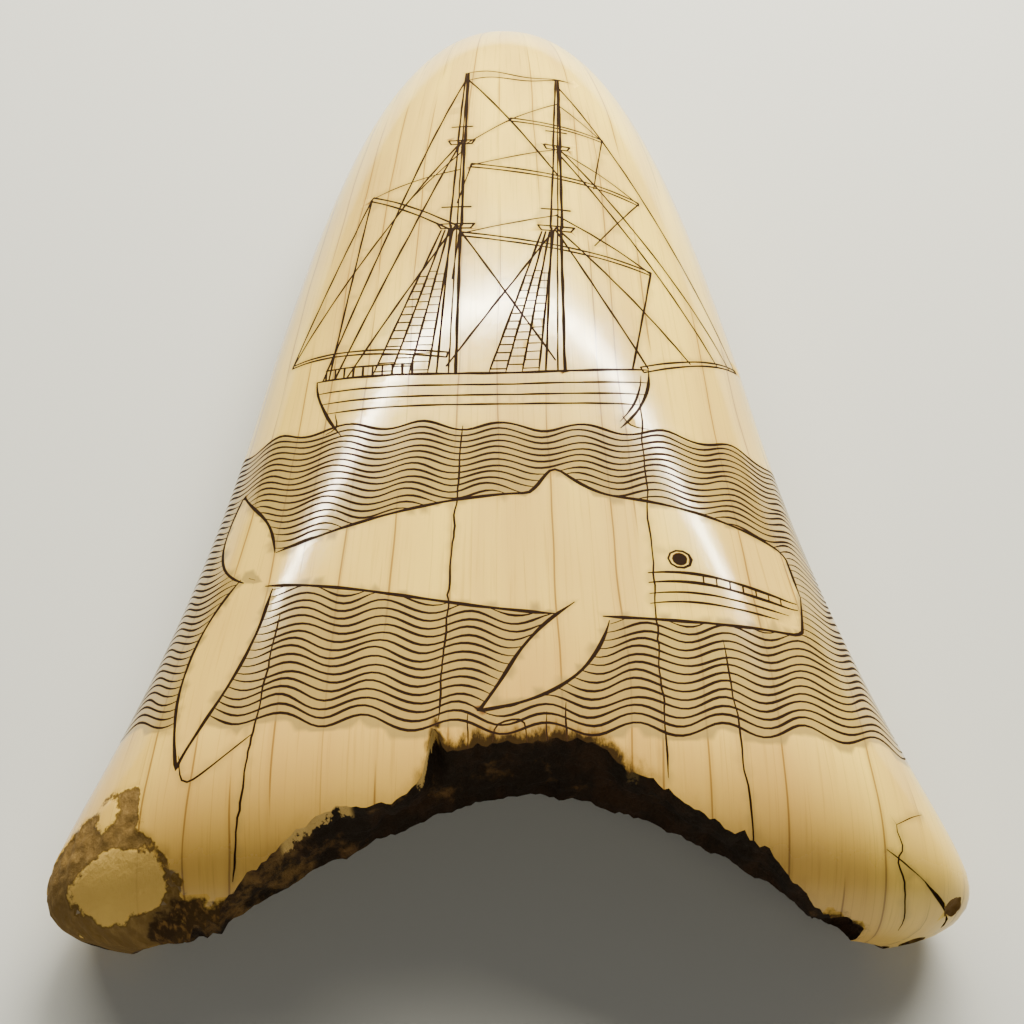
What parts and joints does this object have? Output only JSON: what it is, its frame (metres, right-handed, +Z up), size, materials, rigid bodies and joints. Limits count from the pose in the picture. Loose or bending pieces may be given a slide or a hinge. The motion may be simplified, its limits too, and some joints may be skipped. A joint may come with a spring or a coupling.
{
  "type": "scrimshaw whale tooth",
  "caption": "Flat, flaring whale tooth lying on its hollow back, engraved with a square-rigged ship above a whale in rows of waves; broken root edge.",
  "frame": {"origin": "centre of the bounding box's underside, on the surface that the tooth lies on", "axes": "+Y from the broken root end to the rounded tip, +Z up out of the engraved front, +X to the right of someone who looks along +Y"},
  "size_m": [0.098, 0.15, 0.027],
  "materials": {
    "ivory": "polished whale ivory, cream with yellow-brown growth streaks and brown-black ink in the engraving; rough brown dentine on the broken root edge"
  },
  "bodies": {
    "root": {"tooth": "ivory"}
  },
  "joints": []
}
